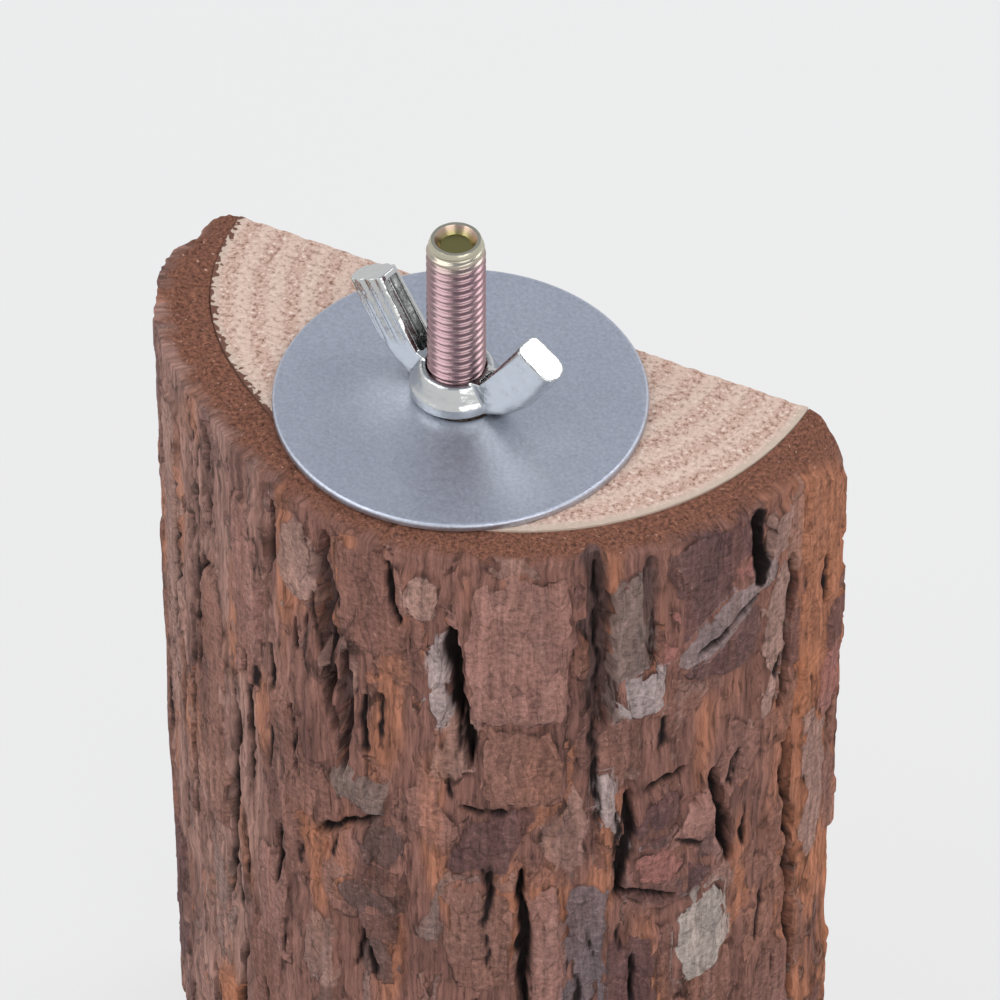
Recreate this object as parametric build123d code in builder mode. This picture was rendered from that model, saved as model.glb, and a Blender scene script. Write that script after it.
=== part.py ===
"""Half-log bird perch: half a round of barked fir with a hanger bolt in one sawn end.

The bolt goes between the bars of a cage, and a wide washer under a wing nut clamps the
bars against the sawn end. Millimetres, +Z along the bolt and out of the log, +Y out of
the sawn flat side, origin where the bolt's axis crosses the sawn end that the washer
sits on.
"""

import os
from math import cos, exp, radians, sin

from build123d import *

# Log: a round split through its pith, so the pith lies in the flat side
log_length = 150.0
flat_to_bolt = 19.0
wood_radius = 42.6
dip_depth = 3.6
dip_angle = 238.0
dip_spread = 28.0
rim_point_count = 19

# Bark: thin scales on a fibrous ground, split by furrows, eased ends, two broken corners
bark_thickness = 6.3
bark_dip_share = 0.8
bark_point_count = 46
ground_drop = 0.4
scale_height = 0.9
scale_root = 1.0
bevel_start = 0.8
bevel_drop = 1.8
left_corner_lip = 2.4
left_corner_drop = 4.5
right_corner_lip = 0.9
right_corner_drop = 10.0
corner_sweep = 17.0
scar_angle = 321.0
scar_middle = -60.0
scar_radius = 10.0
scar_swell = 1.2
scar_depth = 3.0
furrow_taper_share = 0.3
furrow_over = 0.6

# The outline that every scale shares, as parts of its width and length
scale_outline = (
    (-0.50, -0.40), (-0.22, -0.50), (0.30, -0.45), (0.50, -0.30),
    (0.47, 0.36), (0.20, 0.50), (-0.30, 0.44), (-0.50, 0.30),
)

# Scales in view, left to right: angle, middle height, width, length, lean
front_scales = (
    (191, -46, 5.0, 56, 0.0), (205, -72, 6.0, 62, 0.0), (217, -30, 5.0, 44, 0.0),
    (232, -54, 5.0, 50, 0.0), (243, -26, 6.0, 34, 0.0), (249, -83, 7.0, 22, 0.0),
    (257, -11, 6.5, 13, 0.0), (272, -11, 10.5, 18, 0.0), (281, -8, 4.5, 9, 0.0),
    (284, -23, 2.5, 17, 0.05), (269.5, -49, 9.5, 6, 0.1), (273, -66, 6.5, 24, 0.0),
    (296, -17, 14.0, 26, 0.0), (296.5, -38, 11.0, 15, 0.05), (291.5, -53, 8.0, 12, 0.3),
    (290, -72, 9.0, 20, 0.0), (300.5, -74, 4.5, 24, 0.0), (314, -18, 5.5, 26, 0.0),
    (314, -82, 8.0, 17, 0.0), (328.5, -14.5, 12.5, 27, -0.1), (327, -78, 6.6, 17, 0.0),
    (338.5, -22.5, 3.2, 38, 0.1), (338.5, -89, 5.5, 24, 0.0), (352.5, -24, 8.5, 46, 0.0),
    (351.5, -61, 5.0, 30, 0.0),
)

# Furrows in view, left to right: angle and height of both ends, width, depth
front_furrows = (
    ((198, -14), (196, -74), 1.8, 2.0), ((211, -10), (213, -66), 1.8, 2.0),
    ((224, -24), (222, -96), 1.8, 2.0), ((231, 0), (230.5, -25), 1.8, 2.0),
    ((238, -48), (234, -95), 1.8, 2.0), ((251, 0), (250.5, -18), 1.9, 2.4),
    ((263.5, -3), (263.7, -40), 3.0, 2.6), ((267.6, -23), (266, -47), 2.6, 2.4),
    ((285.7, -13), (287, -31), 2.4, 3.4), ((288, -26), (289, -39), 1.8, 2.8),
    ((308, 2), (309.5, -32), 4.6, 2.8), ((311, -43), (312.5, -67), 1.8, 2.2),
    ((296.5, -58), (297.5, -97), 1.8, 2.6), ((336, 3), (336.7, -15), 2.8, 4.2),
    ((344.7, -14), (342.7, -40), 2.2, 2.4), ((344.7, -47), (348, -106), 2.8, 3.2),
    ((328.5, -50), (333, -71), 1.8, 2.6),
)

# Scales and furrows on the lower part of the log, spread by a rule
low_scale_count = 15
low_scale_width = 7.5
low_scale_length = 26.0
low_scale_start = 0.66
low_scale_span = 0.32
low_furrow_count = 17
low_furrow_width = 2.2
low_furrow_depth = 2.6
low_furrow_length = 38.0
low_furrow_start = 0.62
low_furrow_span = 0.24
low_furrow_lean = 2.0

# Hanger bolt: machine thread outside the log, wood screw inside it
thread_diameter = 7.9
stud_height = 28.0
lead_gap = 3.9
lead_ease = 0.05
lead_blend = 0.6
tip_chamfer = 1.5
tip_chamfer_width = 0.75
cup_diameter = 5.1
cup_depth = 1.3
cup_floor_diameter = 2.6
shank_diameter = 7.1
shank_length = 5.0
shank_clearance = 0.45
wood_screw_diameter = 6.4
wood_screw_length = 31.0
point_length = 7.0
point_diameter = 0.8
pilot_overdrill = 1.0

# Washer
washer_diameter = 50.0
washer_thickness = 1.1
washer_clearance = 1.0
washer_edge = 0.25

# Wing nut: turned hub, two channelled wings
nut_clearance = 0.05
nut_turn = -11.0
hub_height = 4.8
flange_wall = 2.4
flange_height = 1.9
shoulder_wall = 1.9
collar_wall = 0.9
hub_edge = 0.4
wing_thickness = 4.2
wing_reach = 14.0
wing_rise = 13.6
tip_slant = 28.0
tip_width = 6.3
tip_edge = 0.35
wing_foot = 0.7
wing_heel = 2.8
root_round = 5.0
root_step = 0.4
root_rise = 0.6
back_round = 1.6
lip_round = 0.6
channel_width = 2.4
channel_depth = 2.1
channel_end_wall = 0.9

# Sizes that follow from those
pith = (0.0, flat_to_bolt)
thread_radius = thread_diameter / 2
bolt_depth = shank_length + wood_screw_length
nut_base = washer_thickness
nut_bore_radius = thread_radius + nut_clearance
flange_radius = nut_bore_radius + flange_wall
shoulder_radius = nut_bore_radius + shoulder_wall
collar_radius = nut_bore_radius + collar_wall
lead_start = nut_base + hub_height + root_rise + lead_gap
golden_share = (5**0.5 - 1) / 2


def dip(angle):
    """How far the log falls short of a true round on its flatter side, from 0 to 1."""
    return exp(-(((angle - dip_angle) / dip_spread) ** 2))


def wood_reach(angle):
    """Distance from the pith to the edge of the wood."""
    return wood_radius - dip_depth * dip(angle)


def bark_reach(angle):
    """Distance from the pith to the fibrous ground between the bark's scales."""
    round_reach = wood_radius + bark_thickness - bark_dip_share * dip_depth * dip(angle)
    return round_reach - ground_drop


def scale_reach(angle):
    """Distance from the pith to the outside of the bark's scales."""
    return bark_reach(angle) + scale_height


def root_reach(angle):
    """Distance from the pith to the root of the scales, inside the bark."""
    return bark_reach(angle) - scale_root


def flat(*points):
    """The first two coordinates of each point."""
    return [(point.X, point.Y) for point in points]


def log_point(angle, reach, height):
    """A point by its angle about the pith, its distance from it and its height."""
    return Vector(
        pith[0] + reach * cos(radians(angle)), pith[1] + reach * sin(radians(angle)), height
    )


def rim(reach, points):
    """Points round the half log from one edge of the flat side to the other."""
    angles = [180 + 180 * step / (points - 1) for step in range(points)]
    return flat(*[log_point(a, reach(a), 0) for a in angles])


# Wood: the half round, with the stepped hole that the bolt is driven into
with BuildPart() as log_core:
    with BuildSketch(Plane.XY.offset(-log_length)):
        with BuildLine():
            wood_edge = Spline(*rim(wood_reach, rim_point_count))
            Line(wood_edge @ 1, wood_edge @ 0)
        make_face()
    extrude(amount=log_length)
    CounterBoreHole(
        radius=wood_screw_diameter / 2,
        counter_bore_radius=shank_diameter / 2 + shank_clearance,
        counter_bore_depth=shank_length,
        depth=bolt_depth + pilot_overdrill,
    )


# Bark: scales first, cut from a thin shell by their outlines
def way_out(angle):
    """The way out of the log at an angle about the pith."""
    return Vector(cos(radians(angle)), sin(radians(angle)), 0)


def low_scale(index):
    """A scale on the lower part of the log, at heights that never line up."""
    angle = 180 + 180 * (index + 0.5) / low_scale_count
    share = low_scale_start + low_scale_span * (golden_share * index % 1.0)
    return angle, -log_length * share, low_scale_width, low_scale_length, 0.0


def low_furrow(index):
    """A furrow on the lower part of the log, at heights that never line up."""
    angle = 180 + 180 * (index + 0.5) / low_furrow_count
    top = -log_length * (low_furrow_start + low_furrow_span * (golden_share * index % 1.0))
    end_angle = angle + low_furrow_lean * (-1) ** index
    return (angle, top), (end_angle, top - low_furrow_length), low_furrow_width, low_furrow_depth


scales_all = front_scales + tuple(low_scale(index) for index in range(low_scale_count))
furrows_all = front_furrows + tuple(low_furrow(index) for index in range(low_furrow_count))

with BuildPart() as scales:
    for angle, middle, width, length, lean in scales_all:
        side = way_out(angle + 90)
        foot = log_point(angle, wood_reach(angle) + bevel_start, middle)
        with BuildSketch(Plane(origin=foot, x_dir=side, z_dir=way_out(angle))):
            with BuildLine():
                corners = [(x * width + lean * y * length, y * length) for x, y in scale_outline]
                Polyline(*corners, close=True)
            make_face()
        extrude(amount=bark_thickness + scale_height)
    with BuildSketch(Plane.XY.offset(-log_length)):
        with BuildLine():
            root = Polyline(*rim(root_reach, bark_point_count))
            outside = Polyline(*rim(scale_reach, bark_point_count))
            Line(root @ 0, outside @ 0)
            Line(root @ 1, outside @ 1)
        make_face()
    extrude(amount=log_length, mode=Mode.INTERSECT)


# Bark: the shell on the round side, its scales and the scar of a branch, eased and split
with BuildPart() as bark:
    with BuildSketch(Plane.XY.offset(-log_length)):
        with BuildLine():
            inner = Spline(*rim(wood_reach, rim_point_count))
            outer = Polyline(*rim(bark_reach, bark_point_count))
            Line(inner @ 0, outer @ 0)
            Line(inner @ 1, outer @ 1)
        make_face()
    extrude(amount=log_length)
    add(scales.part)
    scar_foot = log_point(scar_angle, bark_reach(scar_angle), scar_middle)
    scar_side = way_out(scar_angle + 90)
    with BuildSketch(Plane(origin=scar_foot, x_dir=scar_side, z_dir=(0, 0, -1))):
        with BuildLine():
            dome = ThreePointArc(
                (0, scar_swell),
                (scar_radius / 2, scar_swell - scar_depth / 4),
                (scar_radius, scar_swell - scar_depth),
            )
            Polyline(dome @ 1, (0, scar_swell - scar_depth), dome @ 0)
        make_face()
    revolve(axis=Axis(scar_foot, way_out(scar_angle)))
    bevel_inner = wood_radius + bevel_start
    bevel_run = bark_thickness - bevel_start
    with BuildSketch(Plane.XZ.offset(-flat_to_bolt)):
        for end, way in ((0.0, -1), (-log_length, 1)):
            with BuildLine():
                Polyline(
                    (bevel_inner, end),
                    (bevel_inner + 2 * bevel_run, end),
                    (bevel_inner + 2 * bevel_run, end + way * 2 * bevel_drop),
                    close=True,
                )
            make_face()
    revolve(axis=Axis((*pith, 0), (0, 0, 1)), mode=Mode.SUBTRACT)
    left_corner = (180.0, 1, left_corner_lip, left_corner_drop)
    right_corner = (360.0, -1, right_corner_lip, right_corner_drop)
    for angle, way, lip, drop in (left_corner, right_corner):
        lip_point = log_point(angle, wood_reach(angle) + lip, 0)
        low_point = log_point(angle, bark_reach(angle), -drop)
        far_angle = angle + way * corner_sweep
        far_point = log_point(far_angle, bark_reach(far_angle), 0)
        broken = (low_point - lip_point).cross(far_point - lip_point) * way
        break_plane = Plane(origin=lip_point, x_dir=low_point - lip_point, z_dir=broken)
        split(bisect_by=break_plane, keep=Keep.BOTTOM)
    for high_end, low_end, width, depth in furrows_all:
        high_point = log_point(high_end[0], scale_reach(high_end[0]) + furrow_over, high_end[1])
        low_point = log_point(low_end[0], scale_reach(low_end[0]) + furrow_over, low_end[1])
        run = high_point - low_point
        out = way_out((high_end[0] + low_end[0]) / 2)
        full_depth = depth + scale_height + furrow_over
        half_width = width / 2 * full_depth / depth
        sections = []
        for share in (furrow_taper_share, 1 - furrow_taper_share):
            place = Plane(origin=low_point + run * share, x_dir=run.cross(out), z_dir=run)
            with BuildSketch(place) as section:
                with BuildLine():
                    Polyline((-half_width, 0), (half_width, 0), (0, full_depth), close=True)
                make_face()
            sections.append(section.sketch)
        loft(sections=[Vertex(*low_point), *sections, Vertex(*high_point)], ruled=True, mode=Mode.SUBTRACT)


# Hanger bolt: one turned blank, its threads drawn as their outer envelope
with BuildPart() as hanger_bolt:
    with BuildSketch(Plane.XZ):
        lead_radius = thread_radius - lead_ease
        with BuildLine():
            Polyline(
                (0, stud_height - cup_depth),
                (cup_floor_diameter / 2, stud_height - cup_depth),
                (cup_diameter / 2, stud_height),
                (lead_radius - tip_chamfer_width, stud_height),
                (lead_radius, stud_height - tip_chamfer),
                (lead_radius, lead_start + lead_blend),
                (thread_radius, lead_start),
                (thread_radius, 0),
                (shank_diameter / 2, 0),
                (shank_diameter / 2, -shank_length),
                (wood_screw_diameter / 2, -shank_length),
                (wood_screw_diameter / 2, -(bolt_depth - point_length)),
                (point_diameter / 2, -bolt_depth),
                (0, -bolt_depth),
                close=True,
            )
        make_face()
    revolve(axis=Axis.Z)


# Washer: a wide stamped disc, its upper edges rolled over by the die
with BuildPart() as washer:
    with BuildSketch():
        Circle(washer_diameter / 2)
        Circle(thread_radius + washer_clearance, mode=Mode.SUBTRACT)
    extrude(amount=washer_thickness)
    chamfer(washer.edges().group_by(Axis.Z)[-1], washer_edge)


# Wing nut, wings first: one outline through both, rounded along the back and the lips
nut_way = Vector(cos(radians(nut_turn)), sin(radians(nut_turn)), 0)
nut_side = Plane(origin=(0, 0, nut_base), x_dir=nut_way, z_dir=nut_way.cross(Vector(0, 0, 1)))
half_tip = Vector(cos(radians(tip_slant)), -sin(radians(tip_slant))) * (tip_width / 2)
tip_low = Vector(wing_reach, wing_rise) + half_tip
tip_high = Vector(wing_reach, wing_rise) - half_tip
root_low = Vector(flange_radius + wing_heel, wing_foot)
root_high = Vector(collar_radius + root_step, hub_height + root_rise)


def wing_edges(builder, start, end):
    """The edges that run along one line of the outline, on both wings and both sides."""
    run = (end - start).normalized()
    out = nut_way * run.X + Vector(0, 0, run.Y)
    back = nut_way * -run.X + Vector(0, 0, run.Y)
    return builder.edges().filter_by(Axis((0, 0, 0), out)) + builder.edges().filter_by(
        Axis((0, 0, 0), back)
    )


with BuildPart() as wing_pair:
    with BuildSketch(nut_side) as wing_outline:
        with BuildLine():
            Polyline(
                (0, wing_foot),
                *flat(root_low, tip_low, tip_high, root_high),
                (0, hub_height - wing_foot),
                close=True,
            )
        make_face()
        fillet(wing_outline.vertices().sort_by_distance((root_low.X, root_low.Y, 0))[0], root_round)
        mirror(about=Plane.YZ)
    extrude(amount=wing_thickness / 2, both=True)
    fillet(wing_edges(wing_pair, root_low, tip_low), back_round)
    fillet(wing_edges(wing_pair, root_high, tip_high), lip_round)
    tips = wing_pair.faces().filter_by(GeomType.PLANE).sort_by_distance((0, 0, nut_base))[-2:]
    chamfer(tips.edges(), tip_edge)


# Wing nut, hub: flange, shoulder and collar, then the channels and the tapped bore
lip_run = (tip_high - root_high).normalized()
lip_inward = Vector(lip_run.Y, -lip_run.X)
channel_start = root_high - lip_run * channel_depth
channel_end = tip_high - lip_run * channel_end_wall

with BuildPart() as wing_nut:
    with BuildSketch(nut_side):
        with BuildLine():
            Polyline(
                (0, 0),
                (flange_radius - hub_edge, 0),
                (flange_radius, hub_edge),
                (flange_radius, flange_height),
                (shoulder_radius, flange_height + flange_wall - shoulder_wall),
                (collar_radius, hub_height - hub_edge),
                (collar_radius - hub_edge, hub_height),
                (0, hub_height),
                close=True,
            )
        make_face()
    revolve(axis=Axis.Z)
    add(wing_pair.part)
    with BuildSketch(nut_side):
        with BuildLine():
            Polyline(
                *flat(
                    channel_start,
                    channel_end,
                    channel_end + lip_inward * channel_depth,
                    channel_start + lip_inward * channel_depth,
                ),
                close=True,
            )
        make_face()
        mirror(about=Plane.YZ)
    extrude(amount=channel_width / 2, both=True, mode=Mode.SUBTRACT)
    Hole(nut_bore_radius)


os.makedirs("parts", exist_ok=True)
log_core.part.label = "log_core"
export_step(log_core.part, "parts/log_core.step")
bark.part.label = "bark"
export_step(bark.part, "parts/bark.step")
hanger_bolt.part.label = "hanger_bolt"
export_step(hanger_bolt.part, "parts/hanger_bolt.step")
washer.part.label = "washer"
export_step(washer.part, "parts/washer.step")
wing_nut.part.label = "wing_nut"
export_step(wing_nut.part, "parts/wing_nut.step")
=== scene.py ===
import math

import bpy
import numpy as np
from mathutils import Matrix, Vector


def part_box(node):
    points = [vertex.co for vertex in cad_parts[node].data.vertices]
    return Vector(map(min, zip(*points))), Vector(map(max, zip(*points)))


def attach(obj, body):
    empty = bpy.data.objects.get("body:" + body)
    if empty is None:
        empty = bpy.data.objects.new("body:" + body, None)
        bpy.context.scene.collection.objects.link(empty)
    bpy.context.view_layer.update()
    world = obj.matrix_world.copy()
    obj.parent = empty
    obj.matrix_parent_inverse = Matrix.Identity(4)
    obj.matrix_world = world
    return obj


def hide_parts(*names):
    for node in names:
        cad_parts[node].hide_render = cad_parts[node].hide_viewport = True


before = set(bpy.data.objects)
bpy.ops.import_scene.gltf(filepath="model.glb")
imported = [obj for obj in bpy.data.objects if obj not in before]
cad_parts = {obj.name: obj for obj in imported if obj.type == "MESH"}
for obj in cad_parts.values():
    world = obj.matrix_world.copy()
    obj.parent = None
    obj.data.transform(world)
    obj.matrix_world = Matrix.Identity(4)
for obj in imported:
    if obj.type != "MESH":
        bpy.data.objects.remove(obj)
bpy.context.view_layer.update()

# Fir half log
# Half of a fir round, ripped through its pith and cross-cut at both ends with a coarse saw.
# The saw tears the end grain into ragged flecks, and a stepped hole takes the bolt.
mm = 0.001
core_low, core_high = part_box("log_core")
flat_y = core_high.y
wood_radius = (core_high.x - core_low.x) / 2
log_length = core_high.z - core_low.z
dip_depth = 3.6 * mm
dip_angle = 238.0
dip_spread = 28.0
ring_spacing = 4.4 * mm
tear_depth = 0.22 * mm
edge_chip = 0.5 * mm
saw_wear = 0.1 * mm
shank_hole_radius = 4.0 * mm
shank_hole_depth = 5.0 * mm
pilot_radius = 3.2 * mm
pilot_depth = 37.0 * mm
hole_sides = 64
cuts_across = 216
cuts_inward = 108
cuts_along = 44
hair = 0.001 * mm


def dip(angle):
    """How far the log falls short of a true round on its flatter side, from 0 to 1."""
    return np.exp(-(((angle - dip_angle) / dip_spread) ** 2))


def wood_reach(angle):
    """Distance from the pith to the edge of the wood."""
    return wood_radius - dip_depth * dip(angle)


def noise(across, along, seed):
    """Smooth swells from about -1 to 1, one to a unit, the same on every run."""
    tile = 128
    turns = np.random.default_rng(seed).uniform(0, 2 * np.pi, (tile, tile))
    column = np.floor(across).astype(int)
    row = np.floor(along).astype(int)
    right = across - column
    up = along - row

    def corner(i, j):
        turn = turns[(column + i) % tile, (row + j) % tile]
        return np.cos(turn) * (right - i) + np.sin(turn) * (up - j)

    ease_right = right**3 * (right * (right * 6 - 15) + 10)
    ease_up = up**3 * (up * (up * 6 - 15) + 10)
    low = corner(0, 0) + ease_right * (corner(1, 0) - corner(0, 0))
    high = corner(0, 1) + ease_right * (corner(1, 1) - corner(0, 1))
    return 1.5 * (low + ease_up * (high - low))


def ramp(values, start, end):
    """A smooth step from 0 at start to 1 at end."""
    share = np.clip((values - start) / (end - start), 0, 1)
    return share * share * (3 - 2 * share)


def points_of(piece):
    """A mesh's points as rows of x, y, z."""
    points = np.empty(len(piece.data.vertices) * 3)
    piece.data.vertices.foreach_get("co", points)
    return points.reshape(-1, 3)


def move_points(piece, points):
    """Puts a mesh's points at new places."""
    piece.data.vertices.foreach_set("co", points.ravel())
    piece.data.update()


def store(piece, name, values):
    """Keeps one number for each point, for the material to read."""
    layer = piece.data.attributes.new(name, "FLOAT", "POINT")
    layer.data.foreach_set("value", values)


def select_only(piece):
    """Makes one object the only one that an operator acts on."""
    bpy.ops.object.select_all(action="DESELECT")
    piece.select_set(True)
    bpy.context.view_layer.objects.active = piece


def edit_all(piece):
    """Opens one mesh in edit mode, with all of it selected."""
    select_only(piece)
    bpy.ops.object.mode_set(mode="EDIT")
    bpy.ops.mesh.select_all(action="SELECT")


def face_outwards():
    """Turns the faces of the mesh in edit mode outwards, and leaves edit mode."""
    bpy.ops.mesh.select_all(action="SELECT")
    bpy.ops.mesh.normals_make_consistent(inside=False)
    bpy.ops.object.mode_set(mode="OBJECT")


def select_edges(piece, chosen):
    """Selects edges in edit mode, by a true or false for each edge."""
    bpy.ops.mesh.select_all(action="DESELECT")
    bpy.ops.mesh.select_mode(type="EDGE")
    bpy.ops.object.mode_set(mode="OBJECT")
    piece.data.edges.foreach_set("select", chosen)
    bpy.ops.object.mode_set(mode="EDIT")


def edge_ends(piece):
    """The two ends of each edge, as two lists of points."""
    ends = np.empty(len(piece.data.edges) * 2, dtype=int)
    piece.data.edges.foreach_get("vertices", ends)
    points = points_of(piece)
    return points[ends[0::2]], points[ends[1::2]]


def combine(piece, other, operation):
    """Joins another solid to a piece or cuts the piece by it, and the other one is used up."""
    select_only(piece)
    change = piece.modifiers.new("combine", "BOOLEAN")
    change.operation = operation
    change.object = other
    change.solver = "EXACT"
    bpy.ops.object.modifier_apply(modifier=change.name)
    bpy.data.objects.remove(other, do_unlink=True)


def linear(colour):
    """An sRGB hex colour as linear red, green, blue and alpha."""
    shares = [int(colour[i : i + 2], 16) / 255 for i in (1, 3, 5)]
    return [s / 12.92 if s <= 0.04045 else ((s + 0.055) / 1.055) ** 2.4 for s in shares] + [1.0]


def add_node(tree, kind, inputs=(), output=None, **settings):
    """Adds a node and gives one of its outputs, by name or the first that is in use.

    Its inputs get values or other nodes' outputs, in order or by name or number.
    """
    new = tree.nodes.new("ShaderNode" + kind)
    for name, value in settings.items():
        setattr(new, name, value)
    for key, value in inputs.items() if isinstance(inputs, dict) else enumerate(inputs):
        if isinstance(value, bpy.types.NodeSocket):
            tree.links.new(value, new.inputs[key])
        else:
            new.inputs[key].default_value = value
    return new.outputs[output] if output else next(shown for shown in new.outputs if shown.enabled)


def new_material(name, values):
    """A material, its node tree, and its surface shader with the values that are the same all over."""
    material = bpy.data.materials.new(name)
    material.use_nodes = True
    surface = material.node_tree.nodes["Principled BSDF"]
    for key, value in values.items():
        surface.inputs[key].default_value = value
    return material, material.node_tree, surface


def dress(piece, material, crease):
    """Gives a piece its material, and smooth shading across edges up to a crease in degrees."""
    piece.data.materials.append(material)
    select_only(piece)
    bpy.ops.object.shade_smooth_by_angle(angle=math.radians(crease))


bpy.ops.object.select_all(action="DESELECT")
bpy.ops.mesh.primitive_grid_add(x_subdivisions=cuts_across, y_subdivisions=cuts_inward, size=2)
half_log = bpy.context.object
half_log.name = "fir_half_log"
points = points_of(half_log)
across = points[:, 0].copy()
outward = (points[:, 1] + 1) / 2
round_x = across * np.sqrt(1 - outward**2 / 2)
round_y = -outward * np.sqrt(1 - across**2 / 2)
angle = np.degrees(np.arctan2(round_y, round_x)) % 360
points[:, 0] = wood_reach(angle) * round_x
points[:, 1] = flat_y + wood_reach(angle) * round_y
points[:, 2] = core_high.z
move_points(half_log, points)

edit_all(half_log)
bpy.ops.mesh.extrude_region_move(TRANSFORM_OT_translate={"value": (0, 0, -log_length)})
bpy.ops.object.mode_set(mode="OBJECT")
start, end = edge_ends(half_log)
upright = np.abs(start[:, 2] - end[:, 2]) > log_length / 2
bpy.ops.object.mode_set(mode="EDIT")
select_edges(half_log, upright)
bpy.ops.mesh.subdivide(number_cuts=cuts_along)
face_outwards()

for radius, depth in ((shank_hole_radius, shank_hole_depth), (pilot_radius, pilot_depth)):
    bpy.ops.mesh.primitive_cylinder_add(vertices=hole_sides, radius=radius, depth=2 * depth)
    combine(half_log, bpy.context.object, "DIFFERENCE")

points = points_of(half_log)
from_pith = np.hypot(points[:, 0], points[:, 1] - flat_y)
angle = np.degrees(np.arctan2(points[:, 1] - flat_y, points[:, 0])) % 360
edge_gap = wood_reach(angle) - from_pith
on_top = points[:, 2] > core_high.z - hair
on_base = points[:, 2] < core_low.z + hair
on_flat = points[:, 1] > flat_y - hair
ring_place = from_pith / ring_spacing + 0.2 * noise(angle / 40, from_pith / (20 * mm), 1)
ring = 0.5 + 0.5 * np.sin(2 * np.pi * ring_place)
torn = noise(points[:, 0] / (0.9 * mm), points[:, 1] / (0.9 * mm), 2)
torn += 0.7 * noise(points[:, 0] / (1.9 * mm), points[:, 1] / (1.9 * mm), 3)
tear = tear_depth * (0.25 + 0.75 * ring) * ramp(edge_gap, 0.3 * mm, 1.5 * mm)
tear *= np.clip(0.4 + 0.6 * torn, 0, 1)
chips = np.clip(noise(points[:, 0] / (2.6 * mm), points[:, 2] / (6 * mm), 4), 0, 1)
near_flat = ramp(flat_y - points[:, 1], 0.9 * mm, 0)
ragged_rim = np.clip(noise(angle / 1.1, points[:, 2] / (4 * mm), 5), 0, 1) * ramp(edge_gap, 0.5 * mm, 0)
end_wear = tear + edge_chip * (chips * near_flat + 0.5 * ragged_rim)
saw_marks = noise(points[:, 0] / (30 * mm), points[:, 2] / (2.6 * mm), 6)
grain = noise(points[:, 0] / (1.1 * mm), points[:, 2] / (28 * mm), 7)
side_wear = saw_wear * (1 + 0.5 * saw_marks + 0.5 * grain)
points[:, 2] -= np.where(on_top, end_wear, 0)
points[:, 2] += np.where(on_base, end_wear, 0)
points[:, 1] -= np.where(on_flat, side_wear, 0)
move_points(half_log, points)
store(half_log, "end_grain", np.where(on_top | on_base, 1.0, 0.0))
store(half_log, "edge_gap", edge_gap / mm)

# Sawn fir: pale pinkish softwood whose torn end grain shows as flecks in rings: dark flecks where the bumped
# surface is low, and light flecks painted on as highlights where it is high
fir, tree, surface = new_material("sawn_fir", {"Roughness": 0.85, "Specular IOR Level": 0.25})
place = add_node(tree, "TexCoord", output="Object")
sideways = add_node(tree, "SeparateXYZ", (place,), output="X")
from_axis = add_node(tree, "VectorMath", (place, (0, flat_y, 0)), operation="SUBTRACT")
level_only = add_node(tree, "VectorMath", (from_axis, (1, 1, 0)), operation="MULTIPLY")
radius = add_node(tree, "VectorMath", (level_only,), operation="LENGTH")
wander = add_node(tree, "TexNoise", {"Vector": place, "Scale": 1 / (14 * mm), "Detail": 2.0})
wandered = add_node(tree, "Math", (wander, 1.6 * mm, radius), operation="MULTIPLY_ADD")
turns = add_node(tree, "Math", (wandered, 2 * math.pi / ring_spacing), operation="MULTIPLY")
wave = add_node(tree, "Math", (turns,), operation="SINE")
band = add_node(tree, "MapRange", (wave, -0.7, 0.7))
long_grain = add_node(tree, "VectorMath", (place, (1, 1, 0.04)), operation="MULTIPLY")
fleck = add_node(
    tree, "TexNoise", {"Vector": long_grain, "Scale": 1 / (0.75 * mm), "Detail": 5.0, "Roughness": 0.75}
)
dark = add_node(tree, "MapRange", (fleck, 0.485, 0.375))
# Painted highlights: the high points of the fleck pattern, which also bumps the surface, get a pale colour
highlight_fleck = add_node(tree, "MapRange", (fleck, 0.54, 0.66))
patch = add_node(tree, "TexNoise", {"Vector": place, "Scale": 1 / (11 * mm), "Detail": 3.0})
end_grain = add_node(tree, "Attribute", output="Fac", attribute_name="end_grain")
edge_mm = add_node(tree, "Attribute", output="Fac", attribute_name="edge_gap")
edge_ragged = add_node(tree, "Math", (fleck, 3.0, edge_mm), operation="MULTIPLY_ADD")
inner = add_node(tree, "MapRange", (edge_ragged, 1.9, 2.9))
pinkish = add_node(tree, "Mix", {0: patch, 6: linear("#e2c9b8"), 7: linear("#dabbab")}, data_type="RGBA")
ring_share = add_node(tree, "MapRange", (end_grain, 0, 1, 0.45, 1.0))
ring_mix = add_node(tree, "Math", (band, ring_share), operation="MULTIPLY")
ringed = add_node(tree, "Mix", {0: ring_mix, 6: pinkish, 7: linear("#d0ae9d")}, data_type="RGBA")
torn_share = add_node(tree, "MapRange", (band, 0, 1, 0.6, 1.0))
end_share = add_node(tree, "MapRange", (end_grain, 0, 1, 0.3, 1.0))
fleck_share = add_node(tree, "Math", (torn_share, end_share), operation="MULTIPLY")
dark_share = add_node(tree, "Math", (dark, fleck_share), operation="MULTIPLY")
highlight_share = add_node(tree, "Math", (highlight_fleck, fleck_share), operation="MULTIPLY")
flecked = add_node(tree, "Mix", {0: dark_share, 6: ringed, 7: linear("#86624f")}, data_type="RGBA")
highlighted = add_node(tree, "Mix", {0: highlight_share, 6: flecked, 7: linear("#f4e6d9")}, data_type="RGBA")
whole = add_node(tree, "Mix", {0: inner, 6: linear("#cdb9a8"), 7: highlighted}, data_type="RGBA")
drag = add_node(tree, "TexNoise", {"Vector": place, "Scale": 1 / (1.1 * mm), "Detail": 4.0})
drag_mm = add_node(tree, "MapRange", (drag, 0.42, 0.72, 0.05, 1.6))
dragged = add_node(tree, "Math", (edge_mm, drag_mm), operation="LESS_THAN")
drag_share = add_node(tree, "MapRange", (sideways, 15 * mm, -15 * mm, 0, 0.95))
drag_end = add_node(tree, "Math", (drag_share, end_grain), operation="MULTIPLY")
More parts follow.
